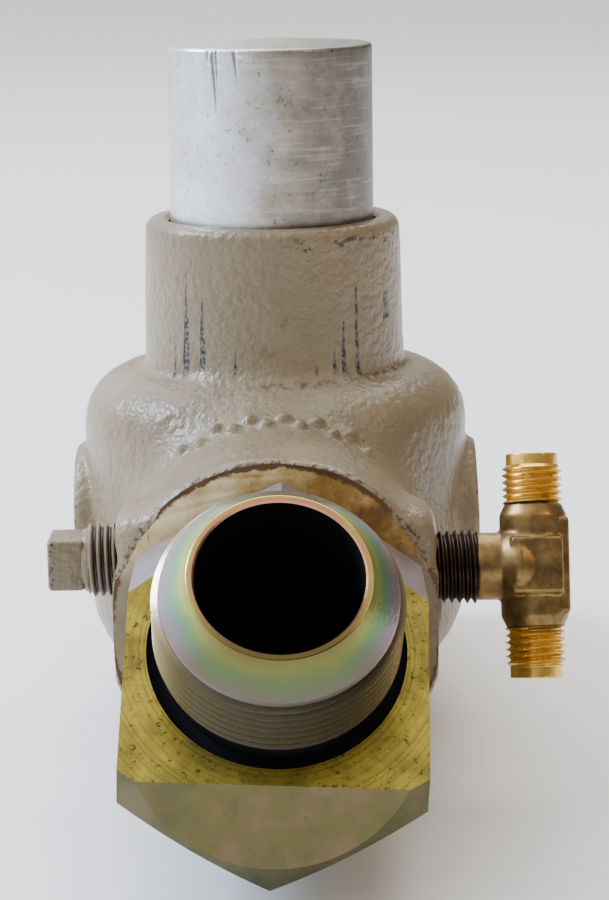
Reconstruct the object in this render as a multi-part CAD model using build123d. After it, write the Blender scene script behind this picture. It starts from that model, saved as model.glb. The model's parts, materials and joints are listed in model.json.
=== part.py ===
from build123d import *
import math
import os

# An inline air pressure regulator: a cast body with a spring barrel on top, an inlet elbow in
# front, a matching outlet port behind, and two gauge ports in the front neck.
# The frame: Z is the axis of barrel, piston and valve. The inlet looks along -Y.
# The origin is the centre of the flat machined foot under the casting. Millimetres throughout.

# ---- fits ----
running_gap = 0.05          # radial clearance of a sliding or turning fit
thread_gap = 0.06           # radial clearance between a plain-cylinder thread pair
seal_gap = 0.05             # clearance all round an unsqueezed O-ring
overcut = 1.0               # how far a cutting tool runs past a face

# ---- casting, outside ----
port_z = 35.0               # height of the inlet and outlet axis above the foot
body_radius = 38.9          # round chamber
chamber_below_port = 28.0   # from the port axis down to the chamber's underside
shoulder_above_port = 36.8  # from the port axis up to the sharp corner of the shoulder
shoulder_slope = 0.7        # how much the shoulder climbs from its corner to the barrel
underside_round = 20.0
shoulder_round = 11.0
barrel_foot_radius = 26.4
barrel_rim_radius = 25.6
barrel_rim_z = 102.6
barrel_foot_round = 1.6
barrel_rim_round = 1.8
neck_face_y = 62.8          # from the body axis to a neck's machined face
neck_root_radius = 32.4     # neck radius at the body axis, before its draft
neck_rim_radius = 31.5
neck_rim_round = 1.6
neck_blend = 8.0            # fillet where a neck grows out of the chamber
gauge_flat_inset = 1.7      # from the front neck's rim radius in to its flat sides
gauge_boss_above_port = 21.0
gauge_boss_length = 17.5    # along the neck, back from the machined face
gauge_boss_setback = 1.2    # from the machined face back to the boss
gauge_boss_round = 2.5
foot_radius = 29.0
pad_radius = 15.0           # round side pads
pad_face_x = 41.0
pad_above_port = 6.0
pad_rim_round = 1.0

# ---- casting, inside ----
web_above_port = -2.0       # underside of the web that carries the seat ring
web_thickness = 5.0
piston_bore_radius = 18.5
piston_bore_top_z = 70.0
counterbore_radius = 21.0
counterbore_floor_z = 88.0
counterbore_chamfer = 0.8
lower_chamber_radius = 19.5
passage_width = 28.0
passage_height = 13.0
passage_drop = 11.0         # inlet passage falls this much below the port axis
passage_rise = 12.0         # outlet passage climbs this much above it
passage_corner = 5.0

# ---- inlet and outlet ports, 1-5/8-12 straight thread ----
port_thread_radius = 20.64
port_depth = 17.8
port_chamfer = 3.1

# ---- gauge ports, 1/4 inch pipe thread ----
pipe_thread_radius = 6.85
gauge_y = 54.6
gauge_port_wall = 0.36      # least metal between a gauge port and the inlet thread
gauge_drill_radius = 1.75
plug_above_port = 11.15
tee_above_port = 8.65

# ---- inlet elbow, 45 degrees, from 2 inch hexagon bar ----
hex_across_flats = 50.8
hex_back_y = 68.1
hex_front_y = 117.7
cut_edge_below_port = 9.9   # where the 45 degree cut meets the front face
elbow_angle = 45.0
elbow_clocking = 2.74       # how far the elbow is turned past upright when tight
turned_face_radius = 24.3   # circle left by the 30 degree corner chamfer on the hexagon
corner_chamfer_angle = 30.0
collar_radius = 24.5
elbow_bore_radius = 13.7
shank_length = 13.0
shank_undercut_radius = 19.3
shank_undercut_length = 3.0
flare_offset = 24.7         # flare axis, measured up the cut from its front edge
flare_length = 25.1
flare_thread_radius = 20.64
flare_undercut_radius = 19.0
flare_undercut_length = 4.1
relief_groove_radius = 21.8    # turned into the sloping face round the spigot
relief_groove_depth = 1.5
flare_cone_angle = 37.0
flare_cone_base_radius = 19.4
flare_nose_radius = 14.9
elbow_ring_wire = 2.5

# ---- pipe plug ----
plug_head_square = 9.525
plug_head_length = 6.8
plug_end_x = 41.8

# ---- branch tee ----
tee_run_x = 47.8            # run axis, from the body axis
tee_run_tilt = 17.0         # run leans back by this much
tee_branch_radius = 6.25
tee_run_radius = 6.25
tee_forging_half = 11.5
tee_thread_radius = 5.556
tee_thread_length = 7.0
tee_pilot_radius = 4.8
tee_pilot_length = 2.2
tee_bore_radius = 3.2
tee_pipe_thread_end_x = 37.2
tee_pad_width = 9.5
tee_pad_height = 10.4
tee_pad_proud = 0.6

# ---- spring cap ----
cap_radius = 20.45
cap_top_z = 136.85
cap_top_thickness = 7.0
cap_chamfer = 0.8
cap_stop_gap = 0.7          # left under the cap's shoulder when screwed fully in
cap_thread_radius = 19.05
cap_thread_length = 16.0
cap_cavity_radius = 15.5
cap_ring_wire = 1.6
cap_ring_above_shoulder = 1.7
cap_thread_pitch = 25.4 / 12
cap_turns = 2.5             # each way from the rest setting

# ---- springs ----
range_wire = 4.0
range_mean_radius = 11.5
range_turns = 7.0
return_wire = 1.8
return_mean_radius = 10.6
return_turns = 4.0

# ---- piston, stem and valve ----
valve_stroke = 5.0
piston_low_z = 56.0
piston_thickness = 10.0
piston_boss_radius = 10.0
piston_boss_length = 6.0
piston_ring_wire = 2.4
wear_band_width = 2.4
wear_band_depth = 1.2
stem_radius = 4.0
stem_collar_radius = 6.5
stem_collar_length = 3.0
stem_bottom_z = 5.6
nut_across_flats = 13.0
nut_height = 4.0
lower_seat_thickness = 4.0
lower_seat_radius = 14.5
lower_seat_hole_radius = 8.5
seat_pilot_radius = 9.3
seat_pilot_length = 4.0
upper_seat_thickness = 5.0
upper_seat_radius = 14.8
poppet_low_z = 20.4
poppet_thickness = 4.0
poppet_radius = 14.0
disc_thickness = 1.5
disc_inner_radius = 9.0
disc_washer_radius = 8.9
disc_washer_thickness = 2.0
seat_ring_radius = 16.5
seat_ring_bore = 12.0
seat_ring_lip_radius = 13.0
seat_ring_flange_radius = 17.6
seat_ring_flange = 1.2
seat_ring_wire = 1.6

# ---- bottom plug ----
plug_thread_radius = 21.0
plug_shoulder_z = 12.0
plug_top_z = 16.0
plug_ring_wire = 1.8
plug_pocket_floor_z = 8.0
plug_pocket_radius = 13.5
plug_boss_radius = 8.4
spanner_hole_radius = 2.5
spanner_hole_pitch_radius = 14.0
spanner_hole_depth = 4.0
bushing_wall = 1.6
bushing_low_z = 4.6

# ---- places worked out from the sizes above ----
ledge = body_radius - barrel_foot_radius
shoulder_limit = 0.87 * ledge
foot_round_limit = 0.13 * ledge
barrel_foot_z = port_z + shoulder_above_port + shoulder_slope
web_low_z = port_z + web_above_port
web_high_z = web_low_z + web_thickness
piston_high_z = piston_low_z + piston_thickness
stem_collar_high_z = piston_low_z - piston_boss_length
spring_low_z = piston_high_z + lower_seat_thickness
cap_travel = cap_turns * cap_thread_pitch
cap_shoulder_z = counterbore_floor_z + cap_travel + cap_stop_gap
cap_bottom_z = cap_shoulder_z - cap_thread_length
cap_inner_top_z = cap_top_z - cap_top_thickness
upper_seat_low_z = cap_inner_top_z - upper_seat_thickness
poppet_high_z = poppet_low_z + poppet_thickness
disc_top_z = poppet_high_z + disc_thickness
seat_lip_z = disc_top_z + valve_stroke + seal_gap
hex_corner_radius = hex_across_flats / math.sqrt(3)
shank_end_y = neck_face_y - shank_length
port_floor_y = neck_face_y - port_depth
cut_low_z = port_z - cut_edge_below_port
flare_up = Vector(0, -math.sin(math.radians(elbow_angle)), math.cos(math.radians(elbow_angle)))
cut_up = Vector(0, math.cos(math.radians(elbow_angle)), math.sin(math.radians(elbow_angle)))
flare_foot = Vector(0, -hex_front_y, cut_low_z) + cut_up * flare_offset
tee_z = port_z + tee_above_port
gauge_port_bottom_x = port_thread_radius + gauge_port_wall
gauge_flat_x = neck_rim_radius - gauge_flat_inset
plug_z = port_z + plug_above_port


def rod(radius, low, high):
    """A cylinder on the Z axis between two heights."""
    return Pos(0, 0, (low + high) / 2) * Cylinder(radius, high - low)


def tube(outer, inner, low, high):
    """A round sleeve on the Z axis."""
    return rod(outer, low, high) - rod(inner, low - overcut, high + overcut)


def turned(outline):
    """A solid turned about Z from (radius, height, corner round) points."""
    points = [(radius, 0, height) for radius, height, _ in outline]
    face = make_face(Polyline(*points, close=True).edges())
    for radius, height, corner in outline:
        if corner > 0:
            near = face.vertices().sort_by_distance(Vector(radius, 0, height))[0]
            face = fillet(near, corner)
    return revolve(face, Axis.Z)


def hexagon(across_flats, low, high):
    """A hexagonal bar on the Z axis with its flats facing +X and -X."""
    outline = Pos(0, 0, low) * Rot(0, 0, 30) * RegularPolygon(across_flats / math.sqrt(3), 6)
    return extrude(outline, high - low)


def o_ring(inner_radius, wire, height):
    """An unsqueezed ring that sits on a groove floor of the given radius."""
    section = wire / 2
    return Pos(0, 0, height) * Torus(inner_radius + seal_gap + section, section)


def groove(outer, floor, wire, height):
    """The annular cut that holds an O-ring in a shaft."""
    half = wire / 2 + 2 * seal_gap
    return tube(outer + overcut, floor, height - half, height + half)


def coil_spring(mean_radius, wire, turns, low, high):
    """A round-wire helix that fills the height between two seats."""
    rise = high - low - wire
    path = Pos(0, 0, low + wire / 2) * Helix(rise / turns, rise, mean_radius)
    section = Plane(path @ 0, z_dir=path % 0) * Circle(wire / 2)
    return sweep(section, path=path, is_frenet=True)


def lying(shape, side):
    """Turns a shape made up the Z axis to point out along -Y (side -1) or +Y (side 1)."""
    return Pos(0, 0, port_z) * Rot(-90 * side, 0, 0) * shape


def chamber_and_barrel():
    """The round chamber with the spring barrel standing on it."""
    return turned([
        (0, port_z - chamber_below_port, 0),
        (body_radius, port_z - chamber_below_port, underside_round),
        (body_radius, port_z + shoulder_above_port, min(shoulder_round, shoulder_limit)),
        (barrel_foot_radius, barrel_foot_z, min(barrel_foot_round, foot_round_limit)),
        (barrel_rim_radius, barrel_rim_z, barrel_rim_round),
        (0, barrel_rim_z, 0),
    ])


def neck(side):
    """A drafted horizontal neck with a rounded rim round its machined face."""
    shape = turned([
        (0, 0, 0),
        (neck_root_radius, 0, 0),
        (neck_rim_radius, neck_face_y, neck_rim_round),
        (0, neck_face_y, 0),
    ])
    return lying(shape, side)


def side_pad(side):
    """A flat round pad on one side of the chamber."""
    disc = fillet(Cylinder(pad_radius, pad_face_x).edges().group_by(Axis.Z)[-1], pad_rim_round)
    lift = Pos(0, 0, port_z + pad_above_port) * Rot(0, 90 * side, 0)
    return lift * Pos(0, 0, pad_face_x / 2) * disc


def port_cut(side):
    """A straight-thread port with its O-ring chamfer and thread bore."""
    bore = rod(port_thread_radius + thread_gap, port_floor_y, neck_face_y + overcut)
    mouth_radius = port_thread_radius + thread_gap + port_chamfer
    seat = Pos(0, 0, neck_face_y - port_chamfer / 2)
    seat = seat * Cone(port_thread_radius + thread_gap, mouth_radius, port_chamfer)
    return lying(bore + seat, side)


def passage(side, end_shift):
    """A cast slot from a port's floor to the chamber, rising or falling on the way."""
    start = Vector(0, side * (port_floor_y + overcut), port_z)
    end = Vector(0, side * passage_width / 2, port_z + end_shift)
    frame = Plane(start, x_dir=(1, 0, 0), z_dir=(end - start).normalized())
    slot = frame * RectangleRounded(passage_width, passage_height, passage_corner)
    return extrude(slot, (end - start).length)


def gauge_port(side, height):
    """A pipe-thread port in the side of the front neck, with its drilling into the inlet."""
    outside = neck_root_radius + overcut
    middle = (outside + gauge_port_bottom_x) / 2
    tapped = Pos(side * middle, -gauge_y, height) * Rot(0, 90, 0)
    tapped = tapped * Cylinder(pipe_thread_radius + thread_gap, outside - gauge_port_bottom_x)
    start = Vector(side * (gauge_port_bottom_x + overcut), -gauge_y, height)
    end = Vector(side * passage_width / 2, -port_floor_y - overcut, height)
    drill = Plane(start, z_dir=(end - start).normalized()) * Circle(gauge_drill_radius)
    return tapped + extrude(drill, (end - start).length)


def gauge_boss():
    """The square shoulders on the front neck, which give the gauge ports their wall."""
    low_y, high_y = -neck_face_y + gauge_boss_setback, -neck_face_y + gauge_boss_length
    boss = Box(2 * gauge_flat_x, high_y - low_y, gauge_boss_above_port)
    boss = fillet(boss.edges().filter_by(Axis.Y).group_by(Axis.Z)[-1], gauge_boss_round)
    return Pos(0, (low_y + high_y) / 2, port_z + gauge_boss_above_port / 2) * boss


def gauge_flat_waste(side):
    """What is taken off one side of the front neck to leave a flat."""
    block = Box(neck_root_radius, gauge_boss_length + overcut, 2 * neck_root_radius)
    y = -neck_face_y + (gauge_boss_length - overcut) / 2
    return Pos(side * (gauge_flat_x + neck_root_radius / 2), y, port_z) * block


def regulator_body():
    """The one-piece casting."""
    shape = chamber_and_barrel() + neck(-1) + neck(1)
    shape = fillet(shape.edges().filter_by(GeomType.BSPLINE), neck_blend)
    shape = shape + gauge_boss() - gauge_flat_waste(-1) - gauge_flat_waste(1)
    shape = shape + rod(foot_radius, 0, port_z) + side_pad(-1) + side_pad(1)
    shape = shape - rod(plug_thread_radius + thread_gap, -overcut, plug_shoulder_z)
    shape = shape - rod(lower_chamber_radius, 0, web_low_z)
    shape = shape - rod(seat_ring_radius + thread_gap, 0, web_high_z + overcut)
    shape = shape - rod(piston_bore_radius, web_high_z, barrel_rim_z)
    shape = shape - rod(cap_thread_radius + thread_gap, piston_bore_top_z, barrel_rim_z)
    shape = shape - rod(counterbore_radius, counterbore_floor_z, barrel_rim_z + overcut)
    mouth = Cone(counterbore_radius, counterbore_radius + counterbore_chamfer, counterbore_chamfer)
    shape = shape - Pos(0, 0, barrel_rim_z - counterbore_chamfer / 2) * mouth
    shape = shape - port_cut(-1) - port_cut(1)
    shape = shape - passage(-1, -passage_drop) - passage(1, passage_rise)
    return shape - gauge_port(-1, plug_z) - gauge_port(1, tee_z)



def hexagon_blank():
    """The elbow's hexagonal bar: vertices up and down, front corners turned off."""
    length = hex_front_y - hex_back_y
    bar = hexagon(hex_across_flats, hex_back_y, hex_front_y)
    drop = (hex_corner_radius - turned_face_radius) * math.tan(math.radians(corner_chamfer_angle))
    tip = Cone(hex_corner_radius, turned_face_radius, drop)
    sleeve = rod(hex_corner_radius, hex_back_y, hex_front_y - drop)
    blank = bar & (sleeve + Pos(0, 0, hex_front_y - drop / 2) * tip)
    back = hex_across_flats / 2
    relief = Pos(0, 0, hex_back_y + drop / 2) * Cone(back, hex_corner_radius, drop)
    return blank & (relief + rod(hex_corner_radius, hex_back_y + drop, hex_front_y + length))


def flare_end():
    """The 37 degree flare spigot, made up the Z axis from the sloping cut."""
    cone_drop = flare_cone_base_radius - flare_nose_radius
    cone_low = flare_length - cone_drop / math.tan(math.radians(flare_cone_angle))
    return turned([
        (0, -hex_across_flats / 4, 0),
        (flare_undercut_radius, -hex_across_flats / 4, 0),
        (flare_undercut_radius, flare_undercut_length, 0),
        (flare_thread_radius, flare_undercut_length, 0),
        (flare_thread_radius, cone_low - (flare_thread_radius - flare_cone_base_radius), 0),
        (flare_cone_base_radius, cone_low, 0),
        (flare_nose_radius, flare_length, 0),
        (0, flare_length, 0),
    ])


def inlet_elbow():
    """A 45 degree adapter: hexagon, thread shank behind, flare on the sloping cut."""
    body = lying(hexagon_blank() + rod(collar_radius, neck_face_y, hex_back_y), -1)
    cut = Plane(Vector(0, -hex_front_y, cut_low_z), x_dir=(1, 0, 0), z_dir=flare_up)
    waste = extrude(cut * Rectangle(3 * hex_across_flats, 4 * hex_across_flats), hex_front_y)
    body = body - waste
    shank = rod(port_thread_radius, shank_end_y, neck_face_y - shank_undercut_length)
    shank = shank + rod(shank_undercut_radius, shank_end_y, neck_face_y)
    body = body + lying(shank, -1)
    spigot = Plane(flare_foot, x_dir=(1, 0, 0), z_dir=flare_up)
    body = body - spigot.location * tube(
        relief_groove_radius, flare_undercut_radius, -relief_groove_depth, overcut)
    body = body + spigot.location * flare_end()
    bend_y = hex_front_y - flare_offset * math.cos(math.radians(elbow_angle))
    bend_y = bend_y - (flare_foot.Z - port_z)
    through = lying(rod(elbow_bore_radius, shank_end_y - overcut, bend_y), -1)
    reach = (flare_foot.Z - port_z) / math.cos(math.radians(elbow_angle))
    angled = spigot.location * rod(elbow_bore_radius, -reach, flare_length + overcut)
    elbow_ball = Pos(0, -bend_y, port_z) * Sphere(elbow_bore_radius)
    body = body - through - angled - elbow_ball
    upright = Pos(0, 0, port_z) * Rot(0, elbow_clocking, 0) * Pos(0, 0, -port_z)
    return upright * body


def elbow_o_ring():
    """The ring squeezed into the port's chamfer by the elbow's collar."""
    section = elbow_ring_wire / 2
    return lying(o_ring(shank_undercut_radius, elbow_ring_wire, neck_face_y - section - seal_gap), -1)


def pipe_plug():
    """A square-head plug in the left gauge port."""
    thread_start = plug_end_x - plug_head_length
    shank = rod(pipe_thread_radius, gauge_port_bottom_x + seal_gap, thread_start)
    head = Pos(0, 0, plug_end_x - plug_head_length / 2)
    head = head * Box(plug_head_square, plug_head_square, plug_head_length)
    edges = head.edges().group_by(Axis.Z)[-1]
    head = chamfer(edges, plug_head_square / 16)
    return Pos(0, -gauge_y, plug_z) * Rot(0, -90, 0) * (shank + head)


def tee_run():
    """The tee's straight run with its two thread ends, made up the Z axis."""
    run = rod(tee_run_radius, -tee_forging_half, tee_forging_half)
    pad_depth = 2 * (tee_run_radius + tee_pad_proud)
    run = run + Box(tee_pad_width, pad_depth, tee_pad_height)
    for way in (-1, 1):
        end = rod(tee_thread_radius, 0, tee_forging_half + tee_thread_length)
        end = end + rod(tee_pilot_radius, 0, tee_forging_half + tee_thread_length + tee_pilot_length)
        run = run + Rot(90 - 90 * way, 0, 0) * end
    return run


def branch_tee():
    """A male branch tee in the right gauge port, its run leaning back."""
    at_run = Pos(tee_run_x, -gauge_y, tee_z) * Rot(-tee_run_tilt, 0, 0)
    half = tee_forging_half + tee_thread_length + tee_pilot_length
    branch = rod(pipe_thread_radius, gauge_port_bottom_x + seal_gap, tee_pipe_thread_end_x)
    branch = branch + rod(tee_branch_radius, gauge_port_bottom_x + seal_gap, tee_run_x)
    branch_bore = rod(tee_bore_radius, gauge_port_bottom_x - overcut, tee_run_x)
    along_x = Pos(0, -gauge_y, tee_z) * Rot(0, 90, 0)
    shape = at_run * tee_run() + along_x * branch
    return shape - at_run * rod(tee_bore_radius, -half - overcut, half + overcut) - along_x * branch_bore


def spring_cap():
    """The plain round adjusting cap: a cup that screws into the barrel."""
    shape = rod(cap_radius, cap_shoulder_z, cap_top_z)
    shape = chamfer(shape.edges().group_by(Axis.Z)[-1], cap_chamfer)
    shape = shape + rod(cap_thread_radius, cap_bottom_z, cap_shoulder_z)
    shape = shape - rod(cap_cavity_radius, cap_bottom_z - overcut, cap_inner_top_z)
    height = cap_shoulder_z + cap_ring_above_shoulder
    floor = counterbore_radius - 2 * seal_gap - cap_ring_wire
    return shape - groove(cap_radius, floor, cap_ring_wire, height)


def cap_o_ring():
    """The weather seal between cap and barrel."""
    floor = counterbore_radius - 2 * seal_gap - cap_ring_wire
    return o_ring(floor, cap_ring_wire, cap_shoulder_z + cap_ring_above_shoulder)


def upper_spring_seat():
    """The loose button between the cap and the range spring."""
    seat = rod(upper_seat_radius, upper_seat_low_z, cap_inner_top_z)
    return seat + rod(seat_pilot_radius, upper_seat_low_z - seat_pilot_length, upper_seat_low_z)


def lower_spring_seat():
    """The ring that centres the range spring on the piston."""
    seat = rod(lower_seat_radius, piston_high_z, spring_low_z)
    seat = seat + rod(seat_pilot_radius, piston_high_z, spring_low_z + seat_pilot_length)
    return seat - rod(lower_seat_hole_radius, piston_high_z - overcut, upper_seat_low_z)


def range_spring():
    """The heavy coil spring that sets the outlet pressure."""
    return coil_spring(range_mean_radius, range_wire, range_turns, spring_low_z, upper_seat_low_z)


def return_spring():
    """The light coil spring that closes the valve."""
    low = plug_pocket_floor_z
    return coil_spring(return_mean_radius, return_wire, return_turns, low, poppet_low_z)


def piston_ring_z():
    """Height of the piston's O-ring groove."""
    return piston_low_z + piston_thickness / 3


def piston():
    """The balancing piston, with an O-ring groove and a wear-band groove."""
    radius = piston_bore_radius - running_gap
    shape = rod(radius, piston_low_z, piston_high_z)
    shape = shape + rod(piston_boss_radius, stem_collar_high_z, piston_low_z)
    floor = piston_bore_radius - 2 * seal_gap - piston_ring_wire
    shape = shape - groove(radius, floor, piston_ring_wire, piston_ring_z())
    band_low = piston_high_z - 2 * wear_band_depth - wear_band_width
    band = tube(radius + overcut, radius - wear_band_depth, band_low, band_low + wear_band_width)
    shape = shape - band
    return shape - rod(stem_radius + running_gap, stem_collar_high_z - overcut, piston_high_z + overcut)


def piston_o_ring():
    """The sliding seal of the piston."""
    floor = piston_bore_radius - 2 * seal_gap - piston_ring_wire
    return o_ring(floor, piston_ring_wire, piston_ring_z())


def piston_wear_band():
    """The plastic guide band above the seal."""
    radius = piston_bore_radius - running_gap / 2
    inner = piston_bore_radius - running_gap - wear_band_depth
    band_low = piston_high_z - 2 * wear_band_depth - wear_band_width
    return tube(radius - running_gap / 4, inner, band_low, band_low + wear_band_width)


def valve_stem():
    """The stem that ties piston and valve, with a collar under the piston."""
    shape = rod(stem_radius, stem_bottom_z, piston_high_z + nut_height + running_gap)
    collar_low = stem_collar_high_z - stem_collar_length
    shape = shape + rod(stem_collar_radius, collar_low, stem_collar_high_z)
    washer_top = poppet_high_z + disc_washer_thickness
    return shape + rod(stem_collar_radius, washer_top, washer_top + stem_collar_length)


def stem_nut(low):
    """A hexagon nut on the stem."""
    nut = hexagon(nut_across_flats, low, low + nut_height)
    return nut - rod(stem_radius + thread_gap, low - overcut, low + nut_height + overcut)


def valve_poppet():
    """The metal disc that carries the rubber seat washer."""
    return tube(poppet_radius, stem_radius + running_gap, poppet_low_z, poppet_high_z)


def valve_seat_disc():
    """The rubber washer that closes on the seat ring's lip."""
    return tube(poppet_radius, disc_inner_radius, poppet_high_z, disc_top_z)


def disc_washer():
    """The steel washer that clamps the rubber disc on the poppet."""
    top = poppet_high_z + disc_washer_thickness
    return tube(disc_washer_radius, stem_radius + running_gap, poppet_high_z, top)


def seat_ring():
    """The replaceable seat screwed into the web from below."""
    floor = seat_ring_radius + thread_gap - 2 * seal_gap - seat_ring_wire
    shape = rod(seat_ring_radius, seat_lip_z, web_high_z)
    shape = shape + rod(seat_ring_flange_radius, web_low_z - seat_ring_flange, web_low_z)
    lip = rod(seat_ring_flange_radius + overcut, 0, web_low_z - seat_ring_flange)
    shape = shape - (lip - rod(seat_ring_lip_radius, 0, web_low_z - seat_ring_flange))
    shape = shape + rod(seat_ring_lip_radius, seat_lip_z, web_low_z)
    shape = shape - groove(seat_ring_radius, floor, seat_ring_wire, (web_low_z + web_high_z) / 2)
    return shape - rod(seat_ring_bore, 0, web_high_z + overcut)


def seat_ring_o_ring():
    """The seal round the seat ring."""
    floor = seat_ring_radius + thread_gap - 2 * seal_gap - seat_ring_wire
    return o_ring(floor, seat_ring_wire, (web_low_z + web_high_z) / 2)


def bottom_plug():
    """The screw plug under the valve, with the return spring's pocket and spanner holes."""
    pilot_radius = lower_chamber_radius - running_gap
    shape = rod(plug_thread_radius, 0, plug_shoulder_z)
    shape = shape + rod(pilot_radius, plug_shoulder_z, plug_top_z)
    shape = shape - tube(plug_pocket_radius, plug_boss_radius, plug_pocket_floor_z, plug_top_z + overcut)
    floor = lower_chamber_radius - 2 * seal_gap - plug_ring_wire
    shape = shape - groove(pilot_radius, floor, plug_ring_wire, (plug_shoulder_z + plug_top_z) / 2)
    shape = shape - rod(stem_radius + bushing_wall, bushing_low_z, plug_top_z + overcut)
    for place in PolarLocations(spanner_hole_pitch_radius, 2):
        hole = Cylinder(spanner_hole_radius, 2 * spanner_hole_depth)
        shape = shape - place * hole
    return shape


def bottom_plug_o_ring():
    """The seal of the bottom plug's pilot."""
    floor = lower_chamber_radius - 2 * seal_gap - plug_ring_wire
    return o_ring(floor, plug_ring_wire, (plug_shoulder_z + plug_top_z) / 2)


def guide_bushing():
    """The bronze sleeve that guides the stem's lower end."""
    outer = stem_radius + bushing_wall
    return tube(outer, stem_radius + running_gap, bushing_low_z, plug_top_z)


PIECES = {
    "regulator_body": regulator_body(),
    "inlet_elbow": inlet_elbow(),
    "elbow_o_ring": elbow_o_ring(),
    "pipe_plug": pipe_plug(),
    "branch_tee": branch_tee(),
    "spring_cap": spring_cap(),
    "cap_o_ring": cap_o_ring(),
    "upper_spring_seat": upper_spring_seat(),
    "range_spring": range_spring(),
    "lower_spring_seat": lower_spring_seat(),
    "piston": piston(),
    "piston_o_ring": piston_o_ring(),
    "piston_wear_band": piston_wear_band(),
    "piston_nut": stem_nut(piston_high_z),
    "valve_stem": valve_stem(),
    "valve_poppet": valve_poppet(),
    "valve_seat_disc": valve_seat_disc(),
    "disc_washer": disc_washer(),
    "poppet_nut": stem_nut(poppet_low_z - nut_height),
    "seat_ring": seat_ring(),
    "seat_ring_o_ring": seat_ring_o_ring(),
    "return_spring": return_spring(),
    "bottom_plug": bottom_plug(),
    "bottom_plug_o_ring": bottom_plug_o_ring(),
    "guide_bushing": guide_bushing(),
}

os.makedirs("parts", exist_ok=True)
for node, shape in PIECES.items():
    export_step(shape, f"parts/{node}.step")
    print(node, round(shape.volume, 1))
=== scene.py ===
# %% [markdown]
# # A cast air pressure regulator
# The machine part is already designed: every sub-part arrives as a fixed CAD body, in metres.
# This lesson gives it its looks. The castings and fittings that can be seen are made again as
# fine meshes, each in the same place as the CAD body it stands for, and every surface gets a
# finish named for what the real one is.

# %% Load the frame
import json
import math

import bmesh
import bpy
from mathutils import Matrix, Vector, noise
from mathutils.bvhtree import BVHTree


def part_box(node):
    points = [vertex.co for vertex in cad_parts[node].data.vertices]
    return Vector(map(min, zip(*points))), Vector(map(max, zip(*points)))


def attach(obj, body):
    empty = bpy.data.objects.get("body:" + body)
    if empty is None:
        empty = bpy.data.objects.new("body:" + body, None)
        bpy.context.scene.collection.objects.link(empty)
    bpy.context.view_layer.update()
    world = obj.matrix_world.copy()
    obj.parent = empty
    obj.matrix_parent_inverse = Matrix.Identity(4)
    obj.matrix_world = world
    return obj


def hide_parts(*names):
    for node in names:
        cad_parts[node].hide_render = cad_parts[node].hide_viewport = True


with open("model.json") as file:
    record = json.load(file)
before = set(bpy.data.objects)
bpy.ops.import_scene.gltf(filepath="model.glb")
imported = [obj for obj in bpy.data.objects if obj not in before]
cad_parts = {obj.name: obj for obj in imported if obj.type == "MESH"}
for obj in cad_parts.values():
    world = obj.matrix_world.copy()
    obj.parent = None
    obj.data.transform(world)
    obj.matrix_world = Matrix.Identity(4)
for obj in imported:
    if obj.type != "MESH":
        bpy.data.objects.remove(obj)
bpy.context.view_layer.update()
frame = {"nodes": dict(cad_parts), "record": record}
print("CAD nodes:", len(frame["nodes"]))

# %% [markdown]
# ## Working units
# A machinist thinks in millimetres and Blender files are in metres. The meshes are drawn in
# millimetres and shrunk once, when a piece is finished.

# %% Units and the places that the frame gives
MM = 0.001
FULL_TURN = 2 * math.pi


def box_mm(node):
    """The two corners of a CAD node, in millimetres."""
    low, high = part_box(node)
    return Vector(low) / MM, Vector(high) / MM


mounts = {mount["name"]: mount for mount in frame["record"]["mounts"]}
casting_low, casting_high = box_mm("regulator_body")
cap_low, cap_high = box_mm("spring_cap")
plug_low, plug_high = box_mm("pipe_plug")
port_z = mounts["outlet_port"]["pos_m"][2] / MM
neck_face = casting_high.y
barrel_top = casting_high.z
print("port axis", port_z, "neck face", neck_face, "barrel top", barrel_top)

# %% [markdown]
# ## Making shapes
# Nearly everything on this part was turned, drilled or cast round an axis. So one helper draws
# half an outline as a wire, rounds its corners with a vertex bevel, and spins it about Z.
# Another winds the tooth of a screw thread up that axis.


# %% Turned shapes
def joined(*meshes):
    """Several bmeshes as one; the given ones are used up."""
    whole = bmesh.new()
    for part in meshes:
        carrier = bpy.data.meshes.new("carrier")
        part.to_mesh(carrier)
        part.free()
        whole.from_mesh(carrier)
        bpy.data.meshes.remove(carrier)
    return whole


def moved(shape, matrix):
    """The same bmesh, put somewhere else."""
    bmesh.ops.transform(shape, matrix=matrix, verts=shape.verts)
    return shape


def turned(outline, steps=96, arc_steps=6):
    """A solid spun about Z, closed to the axis, from (radius, height, corner round) points.

    The corner round may be left out.
    """
    outline = [(*point, 0)[:3] for point in outline]
    outline = [(0, outline[0][1], 0), *outline, (0, outline[-1][1], 0)]
    shape = bmesh.new()
    corners = [shape.verts.new((radius, 0, height)) for radius, height, _ in outline]
    for first, second in zip(corners, corners[1:]):
        shape.edges.new((first, second))
    places = [corner.co.copy() for corner in corners]
    for index, (_, _, rounding) in enumerate(outline):
        if rounding > 0:
            before = places[index - 1] - places[index]
            after = places[index + 1] - places[index]
            half_turn = (math.pi - before.angle(after)) / 2
            bmesh.ops.bevel(shape, geom=[corners[index]], offset=rounding * math.tan(half_turn),
                            affect="VERTICES", segments=arc_steps, profile=0.5, material=-1)
    bmesh.ops.spin(shape, geom=shape.verts[:] + shape.edges[:], cent=(0, 0, 0), axis=(0, 0, 1),
                   angle=FULL_TURN, steps=steps, use_merge=True, use_duplicate=False)
    bmesh.ops.remove_doubles(shape, verts=shape.verts, dist=1e-4)
    bmesh.ops.recalc_face_normals(shape, faces=shape.faces)
    return shape


def cylinder(radius, low, high, steps=96):
    """A plain round bar on the Z axis."""
    return turned([(radius, low), (radius, high)], steps)


def rounded(shape, edges, radius, segments=4):
    """The same bmesh with some of its edges rounded."""
    bmesh.ops.bevel(shape, geom=edges, offset=radius, affect="EDGES", segments=segments,
                    profile=0.5, material=-1)
    return shape


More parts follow.
